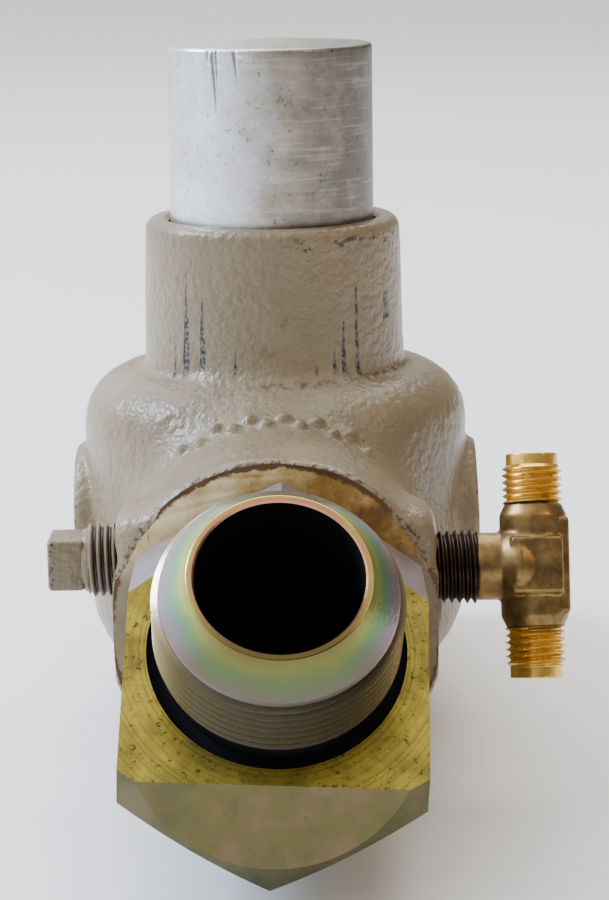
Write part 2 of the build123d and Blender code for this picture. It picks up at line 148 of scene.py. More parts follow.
def relax(shape, points, passes):
    """Moves points half way to the middle of their neighbours, pass after pass."""
    for _ in range(passes):
        bmesh.ops.smooth_vert(shape, verts=points, factor=0.5, use_axis_x=True, use_axis_y=True,
                              use_axis_z=True)


def slab(low, high):
    """A rectangular block between two corners."""
    block = bmesh.new()
    bmesh.ops.create_cube(block, size=1)
    low, high = Vector(low), Vector(high)
    size = high - low
    return moved(block, Matrix.Translation((low + high) / 2) @ Matrix.Diagonal((*size, 1)))


# %% Screw threads
def threaded_rod(major, minor, pitch, low, high, steps=96, crest=0.14):
    """A closed rod with a helical thread: one row of teeth is wound once round, then trimmed."""
    rod = bmesh.new()
    teeth = math.ceil((high - low) / pitch) + 3
    start = low - 1.5 * pitch
    row = []
    for tooth in range(teeth):
        foot = start + tooth * pitch
        middle = foot + pitch / 2
        for height, radius in ((foot, minor), (foot + pitch * crest, minor),
                               (middle, major), (middle + pitch * crest, major)):
            row.append(rod.verts.new((radius, 0, height)))
    row.append(rod.verts.new((minor, 0, start + teeth * pitch)))
    for first, second in zip(row, row[1:]):
        rod.edges.new((first, second))
    bmesh.ops.spin(rod, geom=rod.verts[:] + rod.edges[:], cent=(0, 0, 0), axis=(0, 0, 1),
                   dvec=(0, 0, pitch / steps), angle=FULL_TURN, steps=steps,
                   use_merge=False, use_duplicate=False)
    bmesh.ops.remove_doubles(rod, verts=rod.verts, dist=pitch * 1e-3)
    for height, way in ((low, -1), (high, 1)):
        everything = rod.verts[:] + rod.edges[:] + rod.faces[:]
        bmesh.ops.bisect_plane(rod, geom=everything, dist=1e-6, plane_co=(0, 0, height),
                               plane_no=(0, 0, way), clear_outer=True)
    bmesh.ops.edgeloop_fill(rod, edges=[edge for edge in rod.edges if edge.is_boundary])
    bmesh.ops.recalc_face_normals(rod, faces=rod.faces)
    return rod


# %% [markdown]
# Holes, slots and flats are cut as they would be on the machine, with a cutter. Blender's
# Boolean modifier does this, and its manifold solver keeps every solid closed. It is evaluated
# at once and the result is kept as a plain mesh, so that later steps can measure it.


# %% Cutting and joining solids
def in_scene(name, data):
    """A new object in the scene."""
    made = bpy.data.objects.new(name, data)
    bpy.context.scene.collection.objects.link(made)
    return made


def work_object(shape):
    """A bmesh as a throw-away object."""
    mesh = bpy.data.meshes.new("work")
    shape.to_mesh(mesh)
    shape.free()
    return in_scene("work", mesh)


def evaluated(holder):
    """The object with its modifiers applied, as a bmesh; the object goes."""
    result = bmesh.new()
    result.from_object(holder, bpy.context.evaluated_depsgraph_get())
    bpy.data.objects.remove(holder)
    return result


def combined(base, tool, operation):
    """One solid cut from, joined to or shared with another."""
    base_object, tool_object = work_object(base), work_object(tool)
    step = base_object.modifiers.new("step", "BOOLEAN")
    step.operation, step.object, step.solver = operation, tool_object, "MANIFOLD"
    bpy.context.view_layer.update()
    result = evaluated(base_object)
    bpy.data.objects.remove(tool_object)
    return result


def cut(base, *tools):
    """The solid with each tool cut away in turn."""
    for tool in tools:
        base = combined(base, tool, "DIFFERENCE")
    return base


def united(base, tool):
    """Two overlapping solids as one."""
    return combined(base, tool, "UNION")


def one_skin(shape, voxel):
    """Overlapping solids as one closed skin of small squares."""
    holder = work_object(shape)
    remesh = holder.modifiers.new("one skin", "REMESH")
    remesh.mode, remesh.voxel_size = "VOXEL", voxel
    return evaluated(holder)


# %% [markdown]
# A finished piece is shrunk to metres, its faces are given their finishes by a rule on where
# each face is, and edges sharper than a set angle are marked so that they shade crisply.


# %% Finishing a piece
def finished(name, shape, finishes, body, replaces, rule=None, sharp=35, flat=()):
    """Puts a piece into the scene; rule picks a finish's number for a face in millimetres."""
    bmesh.ops.remove_doubles(shape, verts=shape.verts, dist=1e-4)
    for face in shape.faces:
        face.material_index = rule(face) if rule else 0
        face.smooth = face.material_index not in flat
    for edge in shape.edges:
        if len(edge.link_faces) == 2 and edge.calc_face_angle(0) > math.radians(sharp):
            edge.smooth = False
    bmesh.ops.scale(shape, vec=(MM, MM, MM), verts=shape.verts)
    mesh = bpy.data.meshes.new(name)
    shape.to_mesh(mesh)
    shape.free()
    for finish in finishes:
        mesh.materials.append(finish)
    piece = in_scene(name, mesh)
    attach(piece, body)
    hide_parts(replaces)
    print(name, len(mesh.polygons), "faces")
    return piece


# %% [markdown]
# ## Colours and nodes
# Paint makers and plating charts give colours as sRGB hex values. Shaders want linear light,
# so one function turns them. A finish is then written as sums on signals: a signal is one
# output of a node, and whatever is made from it is a new node.

# %% Colours
MIX_A, MIX_B, MIX_OUT = 6, 7, 2     # the colour sockets of a Mix node, by number


def linear(hex_colour):
    """An sRGB hex colour as linear RGBA."""
    channels = [int(hex_colour[place:place + 2], 16) / 255 for place in (1, 3, 5)]
    curve = [value / 12.92 if value <= 0.04045 else ((value + 0.055) / 1.055) ** 2.4
             for value in channels]
    return (*curve, 1.0)


# %% Signals
class Signal:
    """One output of a node, to be added, multiplied, ramped or looked up."""

    def __init__(self, tree, output):
        self.tree, self.output = tree, output

    def node(self, kind, values=None, links=None, out=0, **settings):
        """Adds a node: settings are its options, values its sockets, links their sources."""
        made = self.tree.nodes.new(kind)
        for option, value in settings.items():
            setattr(made, option, value)
        for socket, value in (values or {}).items():
            made.inputs[socket].default_value = value
        for socket, source in (links or {}).items():
            self.tree.links.new(source.output, made.inputs[socket])
        return Signal(self.tree, made.outputs[out])

    def maths(self, operation, other=0.0):
        """One sum with a number or another signal."""
        linked = isinstance(other, Signal)
        return self.node("ShaderNodeMath", {} if linked else {1: other},
                         {0: self, 1: other} if linked else {0: self}, operation=operation)

    def __add__(self, other):
        return self.maths("ADD", other)

    def __sub__(self, other):
        return self.maths("SUBTRACT", other)

    def __mul__(self, other):
        return self.maths("MULTIPLY", other)

    def __abs__(self):
        return self.maths("ABSOLUTE")

    def over(self, other):
        """The larger of the two."""
        return self.maths("MAXIMUM", other)

    def ramp(self, low, high):
        """0 below low, 1 above high, smooth between; low may be the larger."""
        return self.node("ShaderNodeMapRange", {1: low, 2: high}, {0: self},
                         interpolation_type="SMOOTHSTEP")

    def spread(self, first, last, low=0.0, high=1.0):
        """Runs evenly from first, at low, to last, at high."""
        return self.node("ShaderNodeMapRange", {1: low, 2: high, 3: first, 4: last}, {0: self})

    def tones(self, *stops):
        """The colour for each level, from (level, hex colour) pairs."""
        made = self.node("ShaderNodeValToRGB", links={0: self})
        ramp = made.output.node.color_ramp.elements
        while len(ramp) < len(stops):
            ramp.new(1.0)
        for element, (level, colour) in zip(ramp, stops):
            element.position = level
            element.color = linear(colour)
        return made

    def choose(self, first, second):
        """Colour first where this mask is 0 and colour second where it is 1."""
        values, links = {}, {0: self}
        for socket, colour in ((MIX_A, first), (MIX_B, second)):
            if isinstance(colour, str):
                values[socket] = linear(colour)
            else:
                links[socket] = colour
        return self.node("ShaderNodeMix", values, links, MIX_OUT, data_type="RGBA")

    def bump(self, strength, depth_mm, under=None):
        """A relief of this height, on top of the relief under it."""
        links = {"Height": self} if under is None else {"Height": self, "Normal": under}
        return self.node("ShaderNodeBump", {"Strength": strength, "Distance": depth_mm * MM}, links)

    def vector(self, operation, by=None, out=0):
        """One vector sum on a place, with three fixed numbers."""
        return self.node("ShaderNodeVectorMath", {} if by is None else {1: by}, {0: self}, out,
                         operation=operation)

    def split(self):
        """A place's x, y and z."""
        parts = self.node("ShaderNodeSeparateXYZ", links={0: self})
        return [Signal(self.tree, part) for part in parts.output.node.outputs]

    def length_with(self, other):
        """The length of a line that goes this far one way and other far across it."""
        corner = self.node("ShaderNodeCombineXYZ", links={0: self, 1: other})
        return corner.vector("LENGTH", out="Value")

    def cloud(self, size_mm, detail=3.0, roughness=0.5, stretch=(1, 1, 1)):
        """Soft noise at a place, its blobs about size_mm across."""
        drawn = self.vector("MULTIPLY", stretch)
        values = {"Scale": 1 / size_mm, "Detail": detail, "Roughness": roughness}
        return drawn.node("ShaderNodeTexNoise", values, {"Vector": drawn}, "Fac")


# %% Materials
def new_finish(name):
    """An empty material, and the place on the object in millimetres."""
    material = bpy.data.materials.new(name)
    material.use_nodes = True
    tree = material.node_tree
    place = Signal(tree, tree.nodes.new("ShaderNodeTexCoord").outputs["Object"])
    return material, place.vector("MULTIPLY", (1 / MM,) * 3)


def coated(material, inputs):
    """Feeds the material's shader with numbers and signals, and gives the material back."""
    tree = material.node_tree
    shader = tree.nodes["Principled BSDF"]
    for socket, source in inputs.items():
        if isinstance(source, Signal):
            tree.links.new(source.output, shader.inputs[socket])
        else:
            shader.inputs[socket].default_value = source
    return material


# %% [markdown]
# ## Tan enamel on a sand casting
# The casting is sand-cast iron, brushed or sprayed with one coat of tan enamel. Enamel is a
# dielectric with an IOR of about 1.5 and a soft gloss. The sand and the thick coat leave an
# orange peel 1 to 2 mm across. A pipe wrench has scraped the barrel down to dark metal, and the
# rims are chipped.

# %% Where the wrench slipped: angle from the front, lowest and highest point, width
SCRAPES = [
    (-40.4, 72.0, 94.5, 2.1), (-31.8, 72.0, 90.0, 1.7), (-47.4, 72.5, 80.5, 1.0),
    (-24.7, 71.8, 76.0, 1.8), (-16.3, 73.5, 79.0, 0.8), (38.8, 73.5, 92.0, 1.4),
    (31.4, 73.0, 85.5, 1.4), (27.0, 73.0, 79.5, 1.5), (18.4, 73.0, 76.5, 1.3),
    (9.0, 72.6, 74.5, 1.0), (58.5, 84.0, 90.0, 3.0),
]
BARREL_RADIUS = 26.0
BARREL_FOOT_Z = 73.0
PAD_RADIUS = 15.0           # the round side pads
PAD_ABOVE_PORT = 6.0
ENAMEL_IOR = 1.5


# %% The enamel
def barrel_nicks_and_foot_shade(place, x, z):
    """Nicks in the rim's right half, and painted shade in the corner at the barrel's foot."""
    rim_band = z.ramp(97.5, 99.0) * z.ramp(101.8, 100.4) * x.ramp(0.0, 4.0)
    nicks = place.cloud(1.7, 4, 0.6, stretch=(0.7, 0.7, 1.3)).ramp(0.55, 0.60)
    # Painted shade: a dark band in the corner at the barrel's foot, fading out towards the left.
    foot_line = abs(z - BARREL_FOOT_Z).ramp(0.9, 0.1)
    foot_corner_shade = foot_line * place.cloud(2.6, 5, 0.7).ramp(0.42, 0.60) * x.ramp(-22.0, 6.0)
    return (rim_band * nicks).over(foot_corner_shade)


def wrench_marks(place, x, y, z, bare):
    """Adds the scrapes to the mask of bare metal: strokes with ragged sides, thinner upwards."""
    on_wall = x.length_with(y).ramp(27.3, 26.7)
    around = x.maths("ARCTAN2", y * -1.0) * BARREL_RADIUS
    ragged = (place.cloud(1.3, 6, 0.75, stretch=(1, 1, 0.35)) - 0.50) * 1.7
    for angle, low, high, width in SCRAPES:
        off = abs(around - math.radians(angle) * BARREL_RADIUS)
        half_width = z.spread(width / 2, width * 0.06, low, high)
        stroke = (half_width + ragged - off).ramp(-0.05, 0.16)
        ends = z.ramp(low - 0.6, low + 0.2) * z.ramp(high + 0.5, high - 1.5)
        bare = bare.over(stroke * ends * on_wall)
    return bare


def tan_enamel(name, scraped):
    """Tan enamel over cast iron; scraped adds the barrel's wear."""
    material, place = new_finish(name)
    x, y, z = place.split()
    tone = place.cloud(22, 4).tones((0.32, "#70624a"), (0.52, "#7d6f56"), (0.70, "#8b7d63"))
    colour = place.cloud(4.5, 8, 0.7).ramp(0.56, 0.80).choose(tone, "#584732")
    fine = place.cloud(1.1, 5, 0.65)
    bare = fine.ramp(0.70, 0.73)
    off_pad = y.length_with(z - (port_z + PAD_ABOVE_PORT))
    pad_rim = abs(x).ramp(39.6, 41.0) * off_pad.ramp(PAD_RADIUS - 2.4, PAD_RADIUS - 0.8)
    rims = pad_rim.over(abs(y).ramp(61.2, 62.6))
    chip_and_foot_shade_mask = (fine + rims * 0.14).ramp(0.66, 0.68) * rims
    if scraped:
        # On the barrel the chipped rims are joined by its nicks and by the painted shade at its
        # foot.
        chip_and_foot_shade_mask = chip_and_foot_shade_mask.over(barrel_nicks_and_foot_shade(place, x, z))
        bare = wrench_marks(place, x, y, z, bare)
    metal = place.cloud(0.8).ramp(0.4, 0.6).choose("#2a2725", "#6b6965")
    chipped_and_shaded_colour = (chip_and_foot_shade_mask * 0.85).choose(colour, "#38281a")
    peel = place.cloud(1.6, 2, 0.5) + bare * -0.4
    return coated(material, {
        "Base Color": bare.choose(chipped_and_shaded_colour, metal), "Roughness": place.cloud(6).spread(0.24, 0.42),
        "Metallic": bare * 0.4, "IOR": ENAMEL_IOR, "Normal": peel.bump(0.9, 0.5)})


casting_enamel = tan_enamel("tan_enamel_on_casting", scraped=True)
plug_enamel = tan_enamel("tan_enamel_on_plug", scraped=False)
print("scrapes", len(SCRAPES))

# %% [markdown]
# ## Machined cast iron
# The neck faces were spot-faced bright and left bare, so they have gone cream and rusty.
# Inside, the iron is dark with oil.


# %% Bare iron finishes
def faced_iron():
    """Spot-faced iron with a rusty coat, specks and a rusty rim; browner to the right, partly
    painted shade.
    """
    material, place = new_finish("spot_faced_iron")
    x, _, z = place.split()
    # Browner towards the right: partly corrosion, partly painted shade on the side away from the
    # window.
    patch = x.ramp(-14.0, 16.0) * 0.30 + place.cloud(5, 6, 0.65) * 0.75
    film_and_painted_light = patch.tones((0.30, "#e3d3a8"), (0.46, "#cfb680"), (0.62, "#a5803f"), (0.78, "#6f4c22"))
    rim = x.length_with(z - port_z) + place.cloud(3, 5, 0.7) * 3.0
    specks = place.cloud(0.9, 4, 0.7).ramp(0.63, 0.69).over(rim.ramp(31.0, 31.5))
    colour = (z.ramp(52, 43) * 0.85).choose(film_and_painted_light, "#776b58")
    return coated(material, {
        "Base Color": specks.choose(colour, "#583e24"), "Metallic": 0.35, "Roughness": 0.48,
        "Normal": place.cloud(0.7).bump(0.5, 0.1)})


def mottled(name, dark, pale, size_mm, metallic, roughness, relief_mm=0.03, specular=0.5):
    """A plain working finish: two tones, cloudy, with a fine relief."""
    material, place = new_finish(name)
    return coated(material, {
        "Base Color": place.cloud(size_mm, 5, 0.6).choose(dark, pale), "Metallic": metallic,
        "Roughness": roughness, "Specular IOR Level": specular,
        "Normal": place.cloud(size_mm / 4, 4, 0.6).bump(0.6, relief_mm)})


spot_faced = faced_iron()
oily_iron = mottled("oily_cast_iron", "#0b0908", "#1d1814", 3.0, 0.2, 0.6)
print("iron finishes ready")

# %% [markdown]
# ## The casting
# The pattern maker built it from round shapes: a chamber with a barrel on top, two necks, a
# foot and two side pads. Modelling the blends between them one by one would be hard. Here the
# solids are only laid over each other, a voxel remesh makes them one skin, and the metal is
# then smoothed where the necks run into the chamber, as sand and wax fillets would leave it.

# %% Casting sizes that the frame doesn't name, in millimetres
CHAMBER_RADIUS = 38.9
CHAMBER_BELOW_PORT = 28.0
SHOULDER_ABOVE_PORT = 36.8
SHOULDER_CLIMB = 0.7
BARREL_FOOT_RADIUS = 26.4
BARREL_RIM_RADIUS = 25.6
CHAMBER_FLOOR_ROUND = 20.0
SHOULDER_ROUND = 10.8
BARREL_ROUND = 1.6          # at the barrel's foot
BARREL_RIM_ROUND = 1.8
NECK_ROOT_RADIUS = 32.4
NECK_RIM_RADIUS = 31.5
NECK_LIP_ROUND = 1.6
FOOT_RADIUS = 29.0
GAUGE_FLAT_X = 29.8         # the front neck's flat sides
GAUGE_BOSS_ABOVE_PORT = 21.0
GAUGE_BOSS_LENGTH = 17.5    # back from the neck face
GAUGE_BOSS_SETBACK = 1.2
GAUGE_BOSS_ROUND = 2.5
VOXEL = 0.8                 # about a sand grain; coarser would lose the rims
STOCK = 0.6                 # metal left on the faces for machining


# %% The casting's raw shapes
def lying(shape, side):
    """Turns a shape made up the Z axis to look along -Y (side -1) or +Y (side 1)."""
    turn = Matrix.Rotation(-side * math.pi / 2, 4, "X")
    return moved(shape, Matrix.Translation((0, 0, port_z)) @ turn)


def raw_neck(side):
    """One drafted neck with a rounded lip."""
    return lying(turned([(NECK_ROOT_RADIUS, 0),
                         (NECK_RIM_RADIUS, neck_face + STOCK, NECK_LIP_ROUND + STOCK)]), side)


def raw_pad(side):
    """One round side pad with a softened rim."""
    disc = turned([(PAD_RADIUS, 0), (PAD_RADIUS, casting_high.x, 1.0)])
    turn = Matrix.Rotation(side * math.pi / 2, 4, "Y")
    return moved(disc, Matrix.Translation((0, 0, port_z + PAD_ABOVE_PORT)) @ turn)


chamber = turned([(CHAMBER_RADIUS, port_z - CHAMBER_BELOW_PORT, CHAMBER_FLOOR_ROUND),
                  (CHAMBER_RADIUS, port_z + SHOULDER_ABOVE_PORT, SHOULDER_ROUND),
                  (BARREL_FOOT_RADIUS, port_z + SHOULDER_ABOVE_PORT + SHOULDER_CLIMB, BARREL_ROUND),
                  (BARREL_RIM_RADIUS, barrel_top, BARREL_RIM_ROUND)])
foot = cylinder(FOOT_RADIUS, -STOCK, port_z)
gauge_boss = slab((-GAUGE_FLAT_X, GAUGE_BOSS_SETBACK - neck_face, port_z),
                  (GAUGE_FLAT_X, GAUGE_BOSS_LENGTH - neck_face, port_z + GAUGE_BOSS_ABOVE_PORT))
top_edges = [edge for edge in gauge_boss.edges
             if min(end.co.z for end in edge.verts) > port_z + 1
             and abs(edge.verts[0].co.x - edge.verts[1].co.x) < 1]
rounded(gauge_boss, top_edges, GAUGE_BOSS_ROUND)
front_neck = raw_neck(-1)
for side in (-1, 1):
    waste_x = sorted((side * GAUGE_FLAT_X, side * 60))
    waste = slab((waste_x[0], -80, -20), (waste_x[1], GAUGE_BOSS_LENGTH - neck_face, 90))
    front_neck = cut(front_neck, waste)
raw = joined(chamber, front_neck, raw_neck(1), raw_pad(-1), raw_pad(1), foot, gauge_boss)
print("raw casting shapes", len(raw.faces), "faces")

# %% [markdown]
# The voxel remesh makes one skin of them. Then the saddles are relaxed: each pass moves the
# points near a saddle a little towards their neighbours, so the corner fills like a fillet.

# %% One skin, with soft saddles
SADDLE_PASSES = ((14.0, 30), (10.0, 50), (6.0, 60))     # reach in millimetres, passes
SHOULDER_PASSES = 55
skin = one_skin(raw, VOXEL)


def saddle_distance(point):
    """How far a point is from where neck and chamber surfaces would cross, in millimetres."""
    across_neck = math.hypot(point.x, point.z - port_z)
    to_neck = abs(across_neck - NECK_ROOT_RADIUS)
    above = point.z - (port_z + SHOULDER_ABOVE_PORT - 6.0)
    to_chamber = abs(math.hypot(point.x, point.y) - CHAMBER_RADIUS + 3.0)
    if above > 0:
        to_chamber = min(to_chamber, above)
    return max(to_neck, to_chamber)


for reach, passes in SADDLE_PASSES:
    near = [vertex for vertex in skin.verts if 20 < abs(vertex.co.y) < 56 and vertex.co.z > 4
            and saddle_distance(vertex.co) < reach]
    relax(skin, near, passes)
boss_shoulders = [vertex for vertex in skin.verts
                  if vertex.co.y < -36 and 21 < abs(vertex.co.x) and 45 < vertex.co.z < 66]
relax(skin, boss_shoulders, SHOULDER_PASSES)
relax(skin, skin.verts[:], 1)
print("skin", len(skin.verts), "points,", len(near), "in the tightest saddle zone")

# %% [markdown]
# Sand moulds shift and swell a little. A slow noise of up to 0.2 mm makes the surface look
# poured rather than drawn. A row of plain raised foundry pips stands above the front neck. Each
# pip is found by a ray dropped on the skin, and swells it.

# %% Poured unevenness and foundry pips
SLOW_SWELL, SLOW_SIZE = 0.22, 14        # height and size of the noise
QUICK_SWELL, QUICK_SIZE = 0.05, 3.2
PIP_COUNT = 12
PIP_HALF_WIDTH = 17.5       # the row's reach either side of the middle
PIP_Y = -37.5
PIP_STAGGER = 0.9
PIP_RADIUS = 1.2
PIP_HEIGHT = 1.3

tree_of_skin = BVHTree.FromBMesh(skin)
pips = []
for number in range(PIP_COUNT):
    share = 2 * number / (PIP_COUNT - 1) - 1
    above_pip = Vector((PIP_HALF_WIDTH * share, PIP_Y + PIP_STAGGER * (-1) ** number, 200))
    hit = tree_of_skin.ray_cast(above_pip, Vector((0, 0, -1)))[0]
    if hit:
        pips.append((hit, PIP_RADIUS * (0.8 + 0.35 * abs(math.sin(number * 1.7)))))
skin.normal_update()
for vertex in skin.verts:
    swell = (SLOW_SWELL * noise.noise(vertex.co / SLOW_SIZE)
             + QUICK_SWELL * noise.noise(vertex.co / QUICK_SIZE))
    for centre, radius in pips:
        gap = (vertex.co - centre).length / radius
        if gap < 1.6:
            swell += PIP_HEIGHT * math.exp(-(gap ** 4))
    vertex.co += vertex.normal * swell
print("pips", len(pips))

# %% [markdown]
# Now the casting is machined, with one cutter for each setting on the lathe or mill: the faces,
# the stack of bores up the middle, the two ports, the cast passages between, and the two gauge
# ports. The rear port is empty, so its cutter has a real screw thread.

# %% Cutters
PORT_THREAD_RADIUS = 20.7
PORT_THREAD_MINOR = 19.4
PORT_DEPTH = 17.8
PORT_CHAMFER = 3.1
PORT_PITCH = 25.4 / 12
BORES = [       # radius of each bore of the middle stack, and where it begins, from the foot up
    (21.06, -2 * STOCK), (19.5, 12), (16.56, 33), (18.5, 38), (19.11, 70), (21.0, 88)]
RIM_CHAMFER = 1.2
PASSAGE_SECTION = (28, 13)
PASSAGE_ROUND = 5
PASSAGE_CLIMBS = ((-1, -11), (1, 12))   # side, and how far up the passage's inner end is
FAR = 200                   # well clear of the part

bore_ends = [start for _, start in BORES[1:]] + [barrel_top - 0.8]
bore_outline = []
for (radius, start), end in zip(BORES, bore_ends):
    bore_outline += [(radius, start), (radius, end)]
chamfer_radius = BORES[-1][0] + RIM_CHAMFER
bore_outline += [(chamfer_radius, barrel_top - 0.8 + RIM_CHAMFER), (chamfer_radius, barrel_top + 2)]
bore_stack = turned(bore_outline, steps=128)


def port_mouth():
    """The O-ring chamfer and the relief behind the thread, up the Z axis."""
    port_floor = neck_face - PORT_DEPTH
    return turned([(PORT_THREAD_RADIUS, port_floor), (PORT_THREAD_RADIUS, port_floor + 2.5),
                   (PORT_THREAD_MINOR, port_floor + 3.5),
                   (PORT_THREAD_MINOR, neck_face - PORT_CHAMFER - 1.2),
                   (PORT_THREAD_RADIUS + PORT_CHAMFER + 0.5, neck_face + 0.5)])


def passage(side, climb):
    """A cast slot from a port's floor into the middle of the casting."""
    start = Vector((0, side * (neck_face - PORT_DEPTH + 1), port_z))
    end = Vector((0, side * 14, port_z + climb))
    half = Vector((*PASSAGE_SECTION, (end - start).length)) / 2
    slot = slab(-half, half)
    long_edges = [edge for edge in slot.edges
                  if abs((edge.verts[0].co - edge.verts[1].co).normalized().z) > 0.9]
    rounded(slot, long_edges, PASSAGE_ROUND, segments=6)
    turn = (end - start).to_track_quat("Z", "Y").to_matrix().to_4x4()
    return moved(slot, Matrix.Translation((start + end) / 2) @ turn)


for side in (-1, 1):
    face = sorted((side * neck_face, side * FAR))
    skin = cut(skin, slab((-FAR, face[0], -FAR), (FAR, face[1], FAR)))
skin = cut(skin, slab((-FAR, -FAR, -FAR), (FAR, FAR, 0)), bore_stack)
for side, climb in PASSAGE_CLIMBS:
    skin = cut(skin, lying(port_mouth(), side), passage(side, climb))
rear_thread = threaded_rod(PORT_THREAD_RADIUS, PORT_THREAD_MINOR - 0.1, PORT_PITCH,
                           neck_face - PORT_DEPTH + 2.0, neck_face + 1)
skin = cut(skin, lying(rear_thread, 1))
print("machined casting", len(skin.faces), "faces")

# %% Gauge ports
PIPE_RADIUS = 6.85
PIPE_CLEARANCE = 0.12
plug_axis = (plug_low + plug_high) / 2
tee_upper = Vector(mounts["tee_upper_end"]["pos_m"]) / MM
tee_lower = Vector(mounts["tee_lower_end"]["pos_m"]) / MM
tee_centre = (tee_upper + tee_lower) / 2
for side, height in ((-1, plug_axis.z), (1, tee_centre.z)):
    drill = cylinder(PIPE_RADIUS + PIPE_CLEARANCE, 21.0, 40.0, steps=64)
    turn = Matrix.Rotation(side * math.pi / 2, 4, "Y")
    drill = moved(drill, Matrix.Translation((0, tee_centre.y, height)) @ turn)
    skin = cut(skin, drill)


def casting_finish(face):
    """0 enamel, 1 spot-faced iron, 2 oily iron inside."""
    centre = face.calc_center_median()
    off_port = math.hypot(centre.x, centre.z - port_z)
    off_axis = math.hypot(centre.x, centre.y)
    if abs(abs(centre.y) - neck_face) < 0.02 or centre.z < 0.02:
        return 1
    if off_port < 23.9 and abs(centre.y) > 40:
        return 1 if centre.y > neck_face - PORT_DEPTH + 0.1 else 2
    in_bores = off_axis < 21.1 and not 71 <= centre.z <= 73
    in_passages = off_port < 20 and abs(centre.y) < 50
    return 2 if in_bores or in_passages else 0


casting = finished("painted_casting", skin, [casting_enamel, spot_faced, oily_iron], "casting",
                   "regulator_body", casting_finish, sharp=40)

# %% [markdown]
# ## Zinc-plated steel cap
# The adjusting cap is a plain steel cup, turned and zinc-plated. Zinc is a bright bluish metal
# that dulls to a brownish film where hands and oil reach it. Its left side is also painted paler
# and bluer, a painted reflection of the window, and its right side browner, painted shade. Fine
# turning marks run round it, and a slipped tool has gouged it.


# %% The cap's plating
def zinc_plate():
    """Turned steel under worn, browned zinc plate with dark specks and a painted window reflection.
    """
    material, place = new_finish("worn_zinc_plate")
    x, _, _ = place.split()
    # Painted reflection: pale and bluish on the left, towards the window, and painted shade browner
    # on the right, over a cloudy brown tarnish.
    film_and_painted_light = place.cloud(6, 7, 0.7) * 0.55 + x.ramp(-14, 17) * 0.48
    tone = film_and_painted_light.tones((0.22, "#e2e6ec"), (0.34, "#cfd0d2"), (0.52, "#aaa294"), (0.76, "#76716a"))
    specks = place.cloud(1.3, 5, 0.7).ramp(0.59, 0.69)
    lines = place.cloud(0.7, 3, 0.6, stretch=(0.05, 0.05, 1.0)).ramp(0.52, 0.68)
    rings = place.cloud(0.4, 2, 0.5, stretch=(0.04, 0.04, 1.0)).bump(0.25, 0.03)
    return coated(material, {
        "Base Color": (lines * 0.14).choose((specks * 0.8).choose(tone, "#4f4a45"), "#f2f2f0"),
        "Metallic": 1.0, "Roughness": film_and_painted_light.spread(0.24, 0.44),
        "Normal": place.cloud(2.6, 4).bump(0.4, 0.1, under=rings)})


worn_zinc = zinc_plate()

# %% The cap
GOUGES = [      # angle and height of each end, width, depth
    (-32.5, 136.9, -29.5, 123.5, 0.30, 0.50), (-30.0, 136.9, -28.8, 129.0, 0.24, 0.40),
    (-19.0, 136.9, -17.0, 130.5, 0.30, 0.40), (-36.0, 133.4, -23.0, 132.9, 0.22, 0.20),
    (-34.5, 136.9, -35.0, 134.2, 0.55, 0.40), (-17.5, 135.2, -13.5, 134.9, 0.22, 0.20),
]
THREAD_TOP = 94.0
CAP_THREAD_RADIUS = 19.05
CAP_INNER_RADIUS = 15.5
CAP_TOP_THICKNESS = 7.0
cap_radius = cap_high.x
inner_top = cap_high.z - CAP_TOP_THICKNESS
cap_shape = turned([(CAP_INNER_RADIUS, inner_top), (CAP_INNER_RADIUS, cap_low.z),
                    (CAP_THREAD_RADIUS, cap_low.z, 0.4), (CAP_THREAD_RADIUS, THREAD_TOP),
                    (cap_radius, THREAD_TOP, 0.4), (cap_radius, cap_high.z, 0.8)], steps=160)
for ring in range(13):      # rings of edges, so that the gouges have points to move
    everything = cap_shape.verts[:] + cap_shape.edges[:] + cap_shape.faces[:]
    bmesh.ops.bisect_plane(cap_shape, geom=everything, dist=1e-5,
                           plane_co=(0, 0, THREAD_TOP + 4 + 3.0 * ring), plane_no=(0, 0, 1))


def around_cap(point):
    """Angle from the front in degrees."""
    return math.degrees(math.atan2(point.x, -point.y))


def near_gouges(face):
    """Whether a face is on the gouged part of the cap's wall."""
    centre = face.calc_center_median()
    return -38 < around_cap(centre) < -10 and centre.z > 122 and math.hypot(*centre.xy) > 19


patch = [edge for edge in cap_shape.edges if any(map(near_gouges, edge.link_faces))]
bmesh.ops.subdivide_edges(cap_shape, edges=patch, cuts=5, use_grid_fill=True)
for vertex in cap_shape.verts:
    radius = math.hypot(vertex.co.x, vertex.co.y)
    if radius < 18 or vertex.co.z < 120:
        continue
    here = Vector((math.radians(around_cap(vertex.co)) * cap_radius, vertex.co.z))
    for angle_a, height_a, angle_b, height_b, width, depth in GOUGES:
        end_a = Vector((math.radians(angle_a) * cap_radius, height_a))
        end_b = Vector((math.radians(angle_b) * cap_radius, height_b))
        stroke = end_b - end_a
        along = max(0.0, min(1.0, (here - end_a).dot(stroke) / stroke.length_squared))
        gap = (here - end_a.lerp(end_b, along)).length / (width * (1.2 - along))
        sink = depth * (1.1 - along) * math.exp(-gap * gap)
        vertex.co.x *= 1 - sink / radius
        vertex.co.y *= 1 - sink / radius
cap = finished("plated_cap", cap_shape, [worn_zinc], "cap", "spring_cap", sharp=50)

# %% [markdown]
# ## Yellow chromate on the elbow
# The elbow is a steel bar fitting, zinc-plated and dipped in yellow chromate. The film is thin
# enough to show interference colours, which go from gold through green to lilac with its
# thickness. On wide milled faces it is gold with dark specks, and on the drawn flats of the bar
# a dull purple grey. The lower flats and corners get a darker olive copy of it, painted shade,
# and the bore and the groove round the flare's foot are coloured near black, painted shade too.

